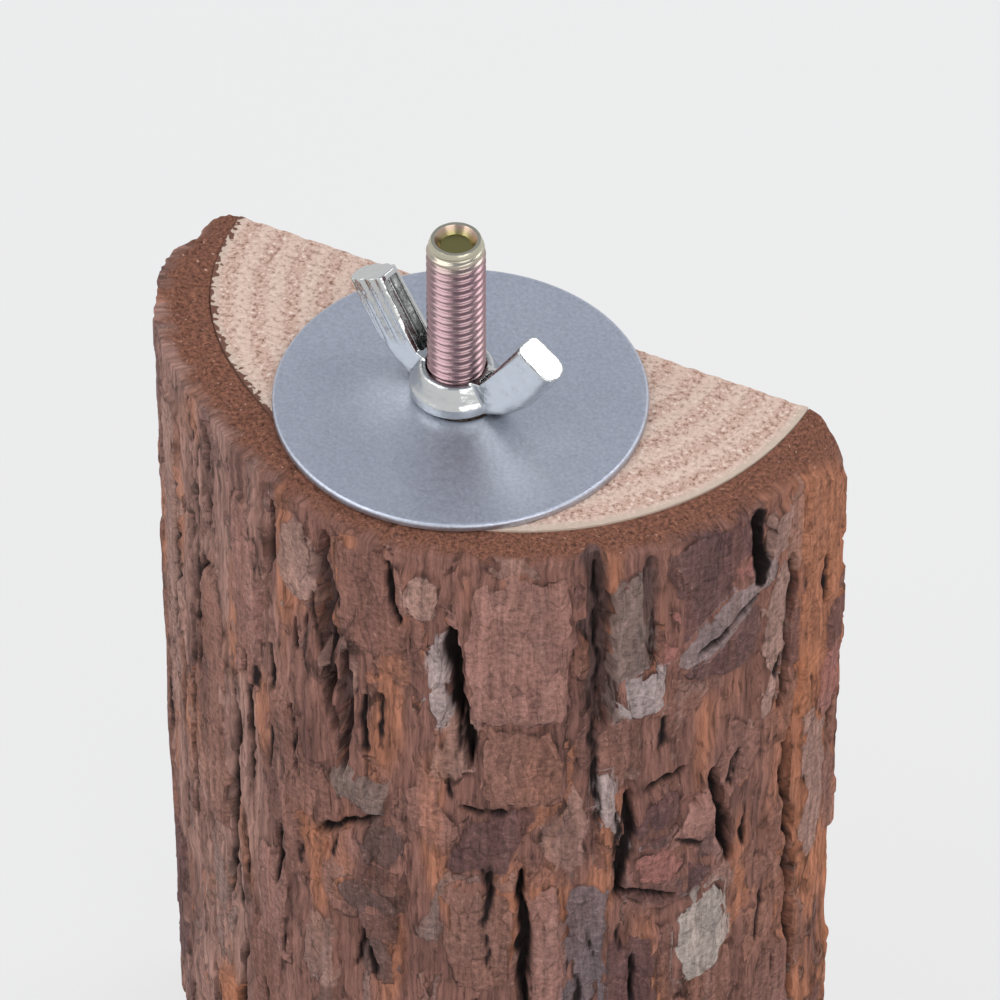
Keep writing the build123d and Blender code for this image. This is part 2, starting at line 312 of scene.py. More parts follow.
fringe = add_node(tree, "Math", (dragged, drag_end), operation="MULTIPLY")
fringed = add_node(tree, "Mix", {0: fringe, 6: whole, 7: linear("#6d4538")}, data_type="RGBA")
tree.links.new(fringed, surface.inputs["Base Color"])
tooth = add_node(tree, "Bump", {"Height": fleck, "Strength": 0.7, "Distance": 0.5 * mm})
tree.links.new(tooth, surface.inputs["Normal"])
dress(half_log, fir, 40)
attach(half_log, "perch")
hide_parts("log_core")

# Bark
# The fir's own bark, still on the round side: a fibrous red-brown ground under thin scales that have
# cracked apart, with the scar of a branch, sawn off with the log at both ends, where it is fuzzy.
bark_low, bark_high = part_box("bark")
bark_radius = 48.7
bark_dip = 2.9
columns = 290
rows = 320
rim_rows = 18
rim_clearance = 0.1
side_drop = 0.9
left_bulge = 1.3
left_bulge_angle = 205
left_bulge_spread = 20
left_corner_drop = 4.4
right_corner_drop = 9.4
corner_spread = 9
scar_angle = 321.5
scar_middle = -59
scar_radius = 9.5
golden_share = (5**0.5 - 1) / 2
bark_tones = {
    "brown": "#7a564c",
    "warm": "#845e52",
    "pink": "#90695f",
    "rose": "#96645c",
    "tan": "#9c7c71",
    "orange": "#a36a4e",
    "umber": "#61443d",
    "dark": "#47322f",
    "dusk": "#5c4743",
    "purple": "#5c4241",
    "slate": "#685d60",
    "grey": "#7a6963",
    "pale": "#a1918e",
    "ash": "#8c7a77",
    "lichen": "#a79b93",
}


def arc(angle):
    """Millimetres round the bark from its left edge to an angle about the pith."""
    return np.radians(angle - 180) * bark_radius


def cells(across, along, seed):
    """Cracked cells, one to a unit: the gap to the nearest crack and two numbers for each cell."""
    tile = 64
    table = np.random.default_rng(seed).uniform(0, 1, (4, tile, tile))
    column = np.floor(across).astype(int)
    row = np.floor(along).astype(int)
    nearest = np.full(len(across), 9.0)
    second = np.full(len(across), 9.0)
    first_number = np.zeros(len(across))
    second_number = np.zeros(len(across))
    for i in (-1, 0, 1):
        for j in (-1, 0, 1):
            at = ((column + i) % tile, (row + j) % tile)
            away = np.hypot(column + i + table[0][at] - across, row + j + table[1][at] - along)
            closer = away < nearest
            second = np.where(closer, nearest, np.minimum(second, away))
            first_number = np.where(closer, table[2][at], first_number)
            second_number = np.where(closer, table[3][at], second_number)
            nearest = np.minimum(nearest, away)
    return second - nearest, first_number, second_number


bpy.ops.object.select_all(action="DESELECT")
bpy.ops.mesh.primitive_grid_add(x_subdivisions=columns, y_subdivisions=rows, size=2)
bark = bpy.context.object
bark.name = "fir_bark"
grid = points_of(bark)
column = np.rint((grid[:, 0] + 1) / 2 * columns).astype(int)
row = np.rint((grid[:, 1] + 1) / 2 * rows).astype(int)
angle = 180 + 180 * column / columns
around = arc(angle)

# The rim: how low the sawn end lies at the outside, and how far across it each row is
left_corner = np.exp(-(((angle - 180) / corner_spread) ** 2))
right_corner = np.exp(-(((angle - 360) / corner_spread) ** 2))
top_drop = side_drop + left_corner_drop * left_corner + right_corner_drop * right_corner
top_drop += 0.6 * noise(around / 7, around * 0 + 0.5, 11) + 0.3 * noise(around / 2, around * 0 + 0.5, 10)
base_drop = side_drop + 0.6 * noise(around / 6, around * 0 + 0.5, 12)
top_share = np.clip((rows - row) / rim_rows, 0, 1)
base_share = np.clip(row / rim_rows, 0, 1)
down = 1 - np.clip((row - rim_rows) / (rows - 2 * rim_rows), 0, 1)
down = 0.6 * down + 0.4 * down**2
length_mm = log_length / mm
height = -top_drop - (length_mm - top_drop - base_drop) * down
height = np.where(top_share < 1, -0.3 - (top_drop - 0.3) * top_share**2, height)
height = np.where(base_share < 1, 0.3 - length_mm + (base_drop - 0.3) * base_share**2, height)

# Fibrous ground: long strips with narrow grooves between them
ragged = 0.8 * noise(around / 4.5, height / 6, 13) + 0.45 * noise(around / 1.7, height / 2.4, 14)
drift = 2.2 * noise(around / 18, height / 40, 15)
strips = 1 - 2 * np.abs(noise((around + drift) / 5.2, height / 55, 16))
fibres = 1 - 2 * np.abs(noise((around + drift) / 2.1, height / 17, 17))
threads = noise((around + drift) / 1.2, height / 7, 18)
ground = -0.6 + 0.35 * strips + 0.28 * fibres + 0.14 * threads + 0.3 * noise(around / 16, height / 22, 19)
relief = ground.copy()
left_side = ramp(angle, 262, 236)
right_side = ramp(angle, 336, 350)
scale_edge = np.full(len(angle), -3.0)
crack_gap = np.full(len(angle), -9.0)
tints = {name: np.tile(linear(bark_tones["brown"])[:3], (len(angle), 1)) for name in ("ground", "scale")}


def wash(name, share, tone):
    """Lays a tone over the colour of the ground or of the scales, where share is above 0."""
    colour = np.array(linear(bark_tones[tone])[:3])
    tints[name] += (colour - tints[name]) * np.clip(share, 0, 1)[:, None]


wash("ground", 0.6 * left_side, "tan")
wash("ground", 0.8 * right_side, "orange")
wash("ground", 0.7 * ramp(noise(around / 7, height / 22, 20), 0.0, 0.6), "umber")
wash("ground", 0.6 * ramp(noise(around / 6, height / 26, 21), 0.1, 0.6), "orange")
# Painted shade: where the ground's relief is low, in its grooves, it is darkened toward the dark tone
wash("ground", 0.7 * ramp(ground, -0.7, -1.2), "dark")
tints["scale"] = tints["ground"].copy()


def cover_with(inside, top, tone, share):
    """Lays a scale over the bark: how far inside its outline each point is, its top and its tone."""
    global relief, scale_edge
    relief = relief + (top - relief) * ramp(inside, -0.3, 0.3)
    near = inside > -0.8
    scale_edge = np.where(near, inside, scale_edge)
    wash("scale", share * near, tone)


# Scales all over: long ones on the left, squarer ones in front, then small flakes on both
wander_x = around + 1.5 * noise(around / 6, height / 8, 32) + 0.8 * ragged
wander_y = height + 2.4 * noise(around / 7, height / 9, 33) + 1.2 * ragged
cell_tones = ("warm", "pink", "umber", "tan", "orange", "grey", "purple", "brown")
for size_x, size_y, seed, share in ((5.5, 34, 34, left_side), (7.2, 15, 35, 1 - left_side)):
    gap, number, other = cells(wander_x / size_x, wander_y / size_y, seed)
    inside = np.where((number < 0.5) & (share > 0.5), 1, -1) * gap * size_x / 2 - 0.25
    for index, tone in enumerate(cell_tones):
        chosen = np.where(np.floor(other * 37 % len(cell_tones)) == index, inside, -9)
        cover_with(chosen, -0.3 + 0.5 * other + 0.1 * threads, tone, 0.45)
gap, number, other = cells(wander_x / 2.7, wander_y / 5.2, 36)
flake = ramp(gap, 0.02, 0.2) * (number < 0.6)
relief += flake * (0.28 * other - 0.06) - 0.12 * ramp(gap, 0.12, 0.0)


def lay_scale(at, middle, width, length, lean, level, tone):
    """A scale of outer bark: its middle by angle and height, its size, its slant, its level and its tone."""
    side = width / 2 - np.abs(around - arc(at) - lean * (height - middle) + ragged)
    end = length / 2 - np.abs(height - middle + 1.5 * ragged)
    inside = -np.log(np.exp(-0.9 * np.clip(side, -30, 30)) + np.exp(-0.9 * np.clip(end, -30, 30))) / 0.9
    top = level + 0.1 * noise(around / 3, height / 5, 23) + 0.2 * noise(around / 9, height / 12, 24)
    cover_with(inside, top + 0.06 * threads + 0.06 * flake, tone, 0.8)


def open_crack(start, end, width, depth, tone=None, shade=0):
    """A split between two places, each an angle and a height: painted black as shade, that painted shade
    made wider by shade, or toned within.
    """
    global relief, crack_gap, scale_edge
    start_x, start_y = arc(start[0]), start[1]
    run_x, run_y = arc(end[0]) - start_x, end[1] - start_y
    length = math.hypot(run_x, run_y)
    along = ((around - start_x) * run_x + (height - start_y) * run_y) / length**2
    aside = ((around - start_x) * run_y - (height - start_y) * run_x) / length + 0.8 * ragged
    reach = np.clip(along, 0, 1)
    off_end = np.abs(along - reach) * length
    half = width / 2 * (4 * reach * (1 - reach)) ** 0.4 * (0.8 + 0.5 * noise(around / 3, height / 4, 25))
    gap = half - np.hypot(aside, off_end)
    relief = relief - depth * ramp(gap, -0.45, 0.4)
    if tone:
        scale_edge = np.where(gap > -0.3, np.minimum(scale_edge, -gap), scale_edge)
        wash("ground", ramp(gap, -0.5, 0.2), tone)
    else:
        crack_gap = np.maximum(crack_gap, gap + shade)


# Scales that are also in the solid: an upper row from left to right, the ones below it, and a low row
for scale in (
    (191, -46, 5.0, 56, 0.0, 0.45, "warm"), (205, -72, 6.0, 62, 0.0, 0.45, "brown"),
    (217, -30, 5.0, 44, 0.0, 0.45, "tan"), (232, -54, 5.0, 50, 0.0, 0.45, "warm"),
    (243, -26, 6.0, 34, 0.0, 0.45, "pink"), (249, -83, 7.0, 22, 0.0, 0.45, "pink"),
    (257, -11, 6.5, 13, 0.0, 0.5, "tan"), (272, -11, 10.5, 18, 0.0, 0.45, "brown"),
    (281, -8, 4.5, 9, 0.0, 0.6, "tan"), (284, -23, 2.5, 17, 0.05, 0.7, "pale"),
    (296, -17, 14.0, 26, 0.0, 0.55, "pink"), (296.5, -38, 11.0, 15, 0.05, 0.4, "warm"),
    (314, -18, 5.5, 26, 0.0, 0.4, "grey"), (328.5, -14.5, 12.5, 27, -0.1, 0.4, "purple"),
    (340, -22, 3.8, 38, 0.05, 0.7, "tan"), (352.5, -24, 8.5, 46, 0.0, 0.4, "orange"),
    (351.5, -61, 5.0, 30, 0.0, 0.4, "tan"), (269.5, -49, 9.5, 6, 0.1, 0.6, "grey"),
    (273, -66, 6.5, 24, 0.0, 0.4, "umber"), (291.5, -53, 8.0, 12, 0.3, 0.4, "purple"),
    (290, -72, 9.0, 20, 0.0, 0.45, "warm"), (300.5, -74, 4.5, 24, 0.0, 0.4, "pink"),
    (314, -82, 8.0, 17, 0.0, 0.4, "purple"), (327, -77, 7.6, 17, 0.0, 0.6, "lichen"),
    (338.5, -89, 5.5, 24, 0.0, 0.4, "warm"),
):
    lay_scale(*scale)
low_scale_count = 15
low_scale_width = 7.5
low_scale_length = 26
low_scale_level = 0.45
for index in range(low_scale_count):
    at = 180 + 180 * (index + 0.5) / low_scale_count
    middle = -length_mm * (0.66 + 0.32 * (golden_share * index % 1.0))
    tone = cell_tones[index * 3 % len(cell_tones)]
    lay_scale(at, middle, low_scale_width, low_scale_length, 0.0, low_scale_level, tone)

# Smaller scales and flakes that lie on those
for scale in (
    (263.8, -27, 1.8, 11, 0.0, 0.6, "tan"), (316, -27, 5.5, 9, 0.0, 0.65, "pale"),
    (321, -18, 1.3, 13, 0.0, 0.7, "rose"), (330.8, -17.4, 8.0, 12.5, 1.0, 0.8, "ash"),
    (334.5, -10.5, 4.0, 3.5, 0.0, 0.8, "rose"), (357, -36, 3.5, 12, 0.0, 0.9, "purple"),
    (355, -45, 5.0, 12, 0.0, 0.8, "rose"), (255.4, -20.8, 1.2, 3.5, 0.3, 0.9, "lichen"),
    (273.8, -57.3, 6.0, 8, 0.0, 0.2, "dusk"), (270.5, -69.5, 9.0, 4.5, 0.2, 0.2, "dusk"),
    (273.2, -81, 5.5, 8, 0.0, 0.2, "dusk"), (307, -74, 4.6, 26, 0.0, -0.3, "slate"),
):
    lay_scale(*scale)

# The branch scar: a swelling with folds round it
scar_x = around - arc(scar_angle)
scar_y = height - scar_middle
scar = np.hypot(scar_x, 0.85 * scar_y) + 0.9 * ragged
swell = np.exp(-((scar / scar_radius) ** 2))
relief += swell * (1.1 + 0.3 * np.sin(2 * np.pi * scar / 3.1 + 0.6))
scar_cover = ramp(scar, scar_radius, 7.5)
scale_edge = np.where(scar < scar_radius, scar_radius - 0.5 - scar, scale_edge)
wash("scale", 0.6 * scar_cover, "purple")
wash("scale", 0.7 * ramp(noise(around / 3.5, height / 3, 26), 0.0, 0.5) * ramp(scar, 8.5, 6.5), "pink")
for scale in (
    (319, -51, 6.0, 6, 0.3, 0.9, "purple"), (325.5, -54, 6.0, 8, 0.2, 1.2, "pink"),
    (319, -60, 8.0, 6, -0.2, 1.2, "rose"), (326, -64, 5.0, 5, 0.0, 1.1, "purple"),
    (311.5, -49, 2.6, 16, -0.25, 0.9, "pale"),
):
    lay_scale(*scale)

# Furrows that are also in the solid, though most are narrower here and a few are moved
for crack in (
    ((198, -14), (196, -74), 1.5, 2.0), ((211, -10), (213, -66), 1.5, 2.0),
    ((224, -24), (222, -96), 1.5, 2.0), ((231, -4), (230.5, -25), 1.4, 2.0),
    ((238, -48), (234, -95), 1.4, 2.0), ((251, -4), (250.5, -18), 1.5, 2.4),
    ((263.5, -3), (263.7, -40), 2.8, 2.6, "dusk"), ((267.6, -23), (266, -47), 2.4, 2.4, "dusk"),
    ((285.7, -13), (287, -31), 2.2, 3.4), ((288, -26), (289, -39), 1.6, 2.8),
    ((308, 2), (309.5, -32), 4.4, 2.6, "dusk"), ((314, -45), (312.3, -65), 1.8, 2.2),
    ((296.5, -58), (297.5, -97), 1.5, 2.6), ((336.2, -2), (336.7, -14), 1.8, 4.2, None, 0.6),
    ((344.5, -14), (342.7, -42), 1.8, 2.4), ((344.7, -47), (348, -106), 2.0, 3.2),
    ((328.5, -46), (332.5, -66), 2.0, 2.6),
):
    open_crack(*crack)
low_furrow_count = 17
low_furrow_width = 2.0
low_furrow_depth = 2.6
low_furrow_length = 38
for index in range(low_furrow_count):
    at = 180 + 180 * (index + 0.5) / low_furrow_count
    top = -length_mm * (0.62 + 0.24 * (golden_share * index % 1.0))
    foot = (at + 2 * (-1) ** index, top - low_furrow_length)
    open_crack((at, top), foot, low_furrow_width, low_furrow_depth)

# Narrow splits, listed where the front shows them and by chance all over but the large plate in front
for crack in (
    ((275.4, -2.7), (277.3, -14), 0.9, 1.4), ((307.8, -27), (308.6, -52), 0.9, 1.0),
    ((308.6, -3), (309.4, -28), 0.9, 0.8), ((264, -8), (263.6, -34), 0.8, 0.8),
    ((260, -62), (273.5, -52), 1.0, 1.4), ((286.7, -47), (294.3, -47), 0.9, 1.2),
    ((325.5, -22.5), (337, -15.5), 1.0, 1.2), ((316.8, -2), (317.2, -21), 2.0, 1.2, "dusk"),
    ((311.8, -63.5), (322, -67), 1.4, 1.6), ((316.5, -45.5), (324, -44.5), 1.2, 1.4),
    ((321, -56), (327, -59), 0.8, 0.9), ((239, -51), (234, -95), 1.0, 1.4),
    ((242.8, -37), (243, -71), 1.0, 1.2), ((219, -22), (217, -94), 1.0, 1.4),
    ((227, -5), (226, -52), 0.9, 1.2),
):
    open_crack(*crack)
split_count = 110
large_plate_from = 288
large_plate_to = 306
large_plate_foot = -34
chance = np.random.default_rng(31)
for _ in range(split_count):
    at = chance.uniform(183, 358)
    top = chance.uniform(-140, -2)
    turn = chance.uniform(-1.6, 1.6)
    split_length = chance.uniform(4, 13)
    split_width = chance.uniform(0.4, 1.0)
    split_depth = chance.uniform(0.6, 1.2)
    on_large_plate = large_plate_from < at < large_plate_to and top > large_plate_foot
    if not on_large_plate:
        open_crack((at, top), (at + turn, top - split_length), split_width, split_depth)

# The sawn ends are fuzzy, and the whole skin stays within the bark's own bounds
rim_share = np.minimum(top_share, base_share)
cut = ramp(rim_share + 0.16 * noise(around / 2.2, rim_share * 4, 37), 1.0, 0.62)
fuzz = 0.35 * noise(around / 1.3, rim_share * 5, 27) + 0.25 * noise(around / 0.7 + 9, rim_share * 9, 28)
bark_reach = bark_radius - bark_dip * dip(angle)
bark_reach += left_bulge * np.exp(-(((angle - left_bulge_angle) / left_bulge_spread) ** 2))
inner_reach = wood_reach(angle) / mm + rim_clearance
reach = inner_reach + (bark_reach + relief - inner_reach) * rim_share
split_drop = np.clip(ramp(crack_gap, -0.4, 0.4) * 1.5 * rim_share, 0, 1.5)
height = height + np.where(rim_share < 1, fuzz * np.sin(np.pi * rim_share) - split_drop * (top_share < 1), 0)
points = np.empty_like(grid)
points[:, 0] = reach * mm * np.cos(np.radians(angle))
points[:, 1] = flat_y + reach * mm * np.sin(np.radians(angle))
points[:, 2] = np.clip(height * mm, bark_low.z, bark_high.z)
points[:, 0] = np.clip(points[:, 0], bark_low.x, bark_high.x)
points[:, 1] = np.clip(points[:, 1], bark_low.y, bark_high.y)
move_points(bark, points)
store(bark, "crack_gap", crack_gap)
store(bark, "scale_edge", np.clip(scale_edge, -3, 3))
store(bark, "sawn", cut)
for name, tint in tints.items():
    layer = bark.data.attributes.new(name + "_tint", "FLOAT_COLOR", "POINT")
    layer.data.foreach_set("color", np.column_stack([np.clip(tint, 0, 1), np.ones(len(tint))]).ravel())
loops = np.empty(len(bark.data.loops), dtype=int)
bark.data.loops.foreach_get("vertex_index", loops)
across_rim = -(1 - rim_share) * (bark_radius - wood_radius / mm) * np.where(top_share < 1, -1, 1)
spread = np.column_stack([around * mm, (height + across_rim) * mm])[loops]
bark.data.uv_layers.active.data.foreach_set("uv", spread.ravel())

# The skin is closed against the wood, and at the two edges that the rip saw left
ends = np.empty(len(bark.data.edges) * 2, dtype=int)
bark.data.edges.foreach_get("vertices", ends)
both_top = (row[ends[0::2]] == rows) & (row[ends[1::2]] == rows)
both_base = (row[ends[0::2]] == 0) & (row[ends[1::2]] == 0)
bpy.ops.object.mode_set(mode="EDIT")
select_edges(bark, both_top | both_base)
bpy.ops.mesh.bridge_edge_loops()
bpy.ops.mesh.select_all(action="SELECT")
bpy.ops.mesh.fill_holes(sides=0)
face_outwards()
ripped = bark.data.attributes.new("ripped", "FLOAT", "FACE")
for face in bark.data.polygons:
    if face.loop_total > 4:
        ripped.data[face.index].value = 1
        for loop in face.loop_indices:
            place = bark.data.vertices[bark.data.loops[loop].vertex_index].co
            bark.data.uv_layers.active.data[loop].uv = (place.x, place.z)

# Fir bark: matt, a streaky fibrous ground under flat scales with crisp edges, with painted shadow on the
# ground beside the scales' edges, and painted black shade in the splits
fir_bark, tree, surface = new_material("fir_bark", {"Roughness": 0.9, "Specular IOR Level": 0.2})
spread = add_node(tree, "UVMap", output="UV", uv_map=bark.data.uv_layers.active.name)
ground_tint = add_node(tree, "Attribute", output="Color", attribute_name="ground_tint")
scale_tint = add_node(tree, "Attribute", output="Color", attribute_name="scale_tint")
gap_node = add_node(tree, "Attribute", output="Fac", attribute_name="crack_gap")
edge_node = add_node(tree, "Attribute", output="Fac", attribute_name="scale_edge")
sawn_node = add_node(tree, "Attribute", output="Fac", attribute_name="sawn")
sway = add_node(tree, "TexNoise", {"Vector": spread, "Scale": 1 / (5 * mm), "Detail": 2.0}, output="Color")
swayed = add_node(tree, "VectorMath", (sway, (1.4 * mm, 2.4 * mm, 0), spread), operation="MULTIPLY_ADD")
fibre_run = add_node(tree, "VectorMath", (swayed, (1, 0.07, 1)), operation="MULTIPLY")
fibre = add_node(
    tree, "TexNoise", {"Vector": fibre_run, "Scale": 1 / (0.95 * mm), "Detail": 6.0, "Roughness": 0.74}
)
speck = add_node(
    tree, "TexNoise", {"Vector": swayed, "Scale": 1 / (0.9 * mm), "Detail": 7.0, "Roughness": 0.8}
)
streak_run = add_node(tree, "VectorMath", (swayed, (1, 0.16, 1)), operation="MULTIPLY")
streak = add_node(
    tree, "TexNoise", {"Vector": streak_run, "Scale": 1 / (0.9 * mm), "Detail": 6.0, "Roughness": 0.75}
)
chip_run = add_node(tree, "VectorMath", (swayed, (1, 0.36, 1)), operation="MULTIPLY")
chip = add_node(tree, "TexVoronoi", {"Vector": chip_run, "Scale": 1 / (2.1 * mm)}, output="Color")
chip_reach = add_node(tree, "SeparateColor", (chip,), output="Red")
chip_shade = add_node(tree, "SeparateColor", (chip,), output="Green")
chip_light = add_node(tree, "MapRange", (chip_shade, 0, 1, 0.84, 1.16))
patch = add_node(tree, "TexNoise", {"Vector": spread, "Scale": 1 / (4 * mm), "Detail": 2.0})
chip_edge = add_node(
    tree, "TexVoronoi", {"Vector": chip_run, "Scale": 1 / (2.1 * mm)}, feature="DISTANCE_TO_EDGE"
)
crack_wide = add_node(tree, "MapRange", (patch, 0.42, 0.66, 0.001, 0.07))
crackle = add_node(tree, "MapRange", (chip_edge, 0, crack_wide, 0.63, 1.0))
# Fibre streaks: partly their own tone and partly painted light, lighter on the raised fibres and darker on
# the low ones of the pattern that also bumps the ground, with thin dark lines painted as shade between them
fibre_tone_and_light = add_node(tree, "MapRange", (fibre, 0.32, 0.68, 0.35, 1.85))
fibre_gap_shade = add_node(tree, "MapRange", (streak, 0.36, 0.44, 0.45, 1.0))
lined = add_node(tree, "Math", (fibre_tone_and_light, fibre_gap_shade), operation="MULTIPLY")
ground_tone = add_node(tree, "VectorMath", {0: ground_tint, "Scale": lined}, operation="SCALE")
grain = add_node(tree, "Mix", {0: 0.6, 2: fibre, 3: speck}, data_type="FLOAT")
scale_light = add_node(tree, "MapRange", (grain, 0.39, 0.61, 0.42, 1.52))
crackled = add_node(tree, "Math", (scale_light, crackle), operation="MULTIPLY")
flaked = add_node(tree, "Math", (crackled, chip_light), operation="MULTIPLY")
scale_tone = add_node(tree, "VectorMath", {0: scale_tint, "Scale": flaked}, operation="SCALE")
chip_off = add_node(tree, "Math", (chip_reach, 1.5, edge_node), operation="MULTIPLY_ADD")
fray = add_node(tree, "Math", (streak, 0.9, -1.2), operation="MULTIPLY_ADD")
frayed_edge = add_node(tree, "Math", (fray, chip_off), operation="ADD")
on_scale = add_node(tree, "MapRange", (frayed_edge, -0.08, 0.12), interpolation_type="SMOOTHSTEP")
# Painted shadow: the ground just outside each scale's frayed edge is darkened, by a share that varies in
# patches
edge_shadow_level = add_node(tree, "MapRange", (patch, 0.4, 0.62, 0.95, 0.3))
painted_edge_shadow = add_node(tree, "MapRange", (frayed_edge, -0.6, -0.1, 1.0, edge_shadow_level))
shadowed = add_node(tree, "VectorMath", {0: ground_tone, "Scale": painted_edge_shadow}, operation="SCALE")
skin = add_node(tree, "Mix", {0: on_scale, 6: shadowed, 7: scale_tone}, data_type="RGBA")
pale_where = add_node(tree, "MapRange", (speck, 0.6, 0.68, 0, 0.65))
specked = add_node(tree, "Mix", {0: pale_where, 6: skin, 7: linear("#b89684")}, data_type="RGBA")
sawn_mix = add_node(
    tree, "TexNoise", {"Vector": swayed, "Scale": 1 / (0.6 * mm), "Detail": 6.0, "Roughness": 0.8}
)
sawn_level = add_node(tree, "MapRange", (sawn_mix, 0.34, 0.68))
sawn_tone = add_node(
    tree, "Mix", {0: sawn_level, 6: linear("#2d1b16"), 7: linear("#a56f59")}, data_type="RGBA"
)
sawn_dust = add_node(tree, "TexNoise", {"Vector": spread, "Scale": 1 / (0.8 * mm), "Detail": 2.0})
dust_share = add_node(tree, "MapRange", (sawn_dust, 0.67, 0.74, 0, 0.7))
sawn_dusty = add_node(tree, "Mix", {0: dust_share, 6: sawn_tone, 7: linear("#d2ab98")}, data_type="RGBA")
sawn_over = add_node(tree, "Mix", {0: sawn_node, 6: specked, 7: sawn_dusty}, data_type="RGBA")
# Painted shade: the splits are painted near black, wider where a crack was given more shade
frayed_gap = add_node(tree, "Math", (fibre, 1.2, gap_node), operation="MULTIPLY_ADD")
split_shade_share = add_node(tree, "MapRange", (frayed_gap, 0.2, 0.75), interpolation_type="SMOOTHSTEP")
split_shaded = add_node(tree, "Mix", {0: split_shade_share, 6: sawn_over, 7: linear("#241a19")}, data_type="RGBA")
ripped_level = add_node(tree, "MapRange", (fibre, 0.34, 0.66))
ripped_tone = add_node(
    tree, "Mix", {0: ripped_level, 6: linear("#422820"), 7: linear("#96654f")}, data_type="RGBA"
)
ripped_node = add_node(tree, "Attribute", output="Fac", attribute_name="ripped")
ripped_over = add_node(tree, "Mix", {0: ripped_node, 6: split_shaded, 7: ripped_tone}, data_type="RGBA")
tree.links.new(ripped_over, surface.inputs["Base Color"])
ground_height = add_node(tree, "Math", (fibre, 0.8), operation="MULTIPLY")
chip_step = add_node(tree, "Math", (chip_shade, 0.3, 0.4), operation="MULTIPLY_ADD")
scale_height = add_node(tree, "Math", (grain, 0.5, chip_step), operation="MULTIPLY_ADD")
skin_height = add_node(tree, "Mix", {0: on_scale, 2: ground_height, 3: scale_height}, data_type="FLOAT")
skin_bump = add_node(tree, "Bump", {"Height": skin_height, "Strength": 0.7, "Distance": 0.5 * mm})
tree.links.new(skin_bump, surface.inputs["Normal"])
dress(bark, fir_bark, 55)
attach(bark, "perch")
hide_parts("bark")

# Hanger bolt
# A steel bolt with an M8 machine thread on the outer end and a coarse wood screw on the other.
# Both threads are rolled, and the zinc plate has a yellow chromate that shines pink and gold.
bolt_low, bolt_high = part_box("hanger_bolt")
thread_radius = 3.92 * mm
thread_depth = 0.62 * mm
thread_pitch = 1.25 * mm
tip_chamfer = 2.0 * mm
tip_radius = 3.25 * mm
cup_radius = 2.8 * mm
cup_floor_radius = 2.0 * mm
cup_depth = 1.0 * mm
shank_radius = 3.55 * mm
shank_length = 5.0 * mm
screw_radius = 3.15 * mm
screw_depth = 0.95 * mm
screw_pitch = 2.8 * mm
point_length = 7.0 * mm
thread_sharpness = 1.4
screw_sharpness = 2.4
ridge_points = 13
thread_sides = 56
round_sides = 48
seat = 0.3 * mm
merge_gap = 0.0005 * mm


def mesh_piece(name, points, links, faces):
    """A new object from points, and from links or faces between them."""
    mesh = bpy.data.meshes.new(name)
    mesh.from_pydata(points, links, faces)
    piece = bpy.data.objects.new(name, mesh)
    bpy.context.collection.objects.link(piece)
    select_only(piece)
    return piece


def line_mesh(name, outline, closed):
    """A line of (radius, height) points in the plane of the bolt's axis."""
    count = len(outline)
    links = [(i, (i + 1) % count) for i in range(count if closed else count - 1)]
    return mesh_piece(name, [(r, 0, z) for r, z in outline], links, [])


def tidy_shell(piece):
    """Merges the seams of a turned shape and points its faces outwards."""
    edit_all(piece)
    bpy.ops.mesh.remove_doubles(threshold=merge_gap)
    face_outwards()


def turned(name, outline, steps):
    """A solid turned from a closed outline of (radius, height) points."""
    piece = line_mesh(name, outline, True)
    edit_all(piece)
    bpy.ops.mesh.spin(steps=steps, angle=2 * math.pi, center=(0, 0, 0), axis=(0, 0, 1))
    bpy.ops.object.mode_set(mode="OBJECT")
    tidy_shell(piece)
    return piece


def threaded(name, root, depth, sharpness, pitch, low, high, shape):
    """A threaded rod between two heights: rolled ridges, then trimmed to a radius by height."""
    share = np.linspace(0, 1, ridge_points)
    ridge = (0.5 - 0.5 * np.cos(2 * np.pi * share)) ** sharpness
    start = low - 2 * pitch
    piece = line_mesh(name, [(root + depth * r, start + pitch * s) for r, s in zip(ridge, share)], False)
    screw = piece.modifiers.new("screw", "SCREW")
    screw.axis = "Z"
    screw.angle = 2 * math.pi
    screw.screw_offset = pitch
    screw.iterations = math.ceil((high - low) / pitch) + 3
    screw.steps = thread_sides
    screw.render_steps = thread_sides
    screw.use_merge_vertices = True
    screw.merge_threshold = merge_gap
    bpy.ops.object.modifier_apply(modifier=screw.name)
    points = points_of(piece)
    reach = np.hypot(points[:, 0], points[:, 1])
    trim = np.minimum(1, shape(points[:, 2]) / reach)
    points[:, 0] *= trim
    points[:, 1] *= trim
    move_points(piece, points)
    tidy_shell(piece)
    bpy.ops.object.mode_set(mode="EDIT")
    for height, way in ((high, 1), (low, -1)):
        bpy.ops.mesh.select_all(action="SELECT")
        bpy.ops.mesh.bisect(
            plane_co=(0, 0, height), plane_no=(0, 0, way),
            use_fill=True, clear_outer=True, threshold=merge_gap,
        )
    face_outwards()
    return piece


def stud_shape(height):
    """Radius of the stud's blank, which narrows to a chamfer at the tip."""
    share = np.clip((bolt_high.z - height) / tip_chamfer, 0, 1)
    return tip_radius + (thread_radius - tip_radius) * share**0.7


def screw_shape(height):
    """Radius of the wood screw's blank, which runs to a point."""
    return np.clip((height - bolt_low.z) / point_length, 0.06, 1) * screw_radius


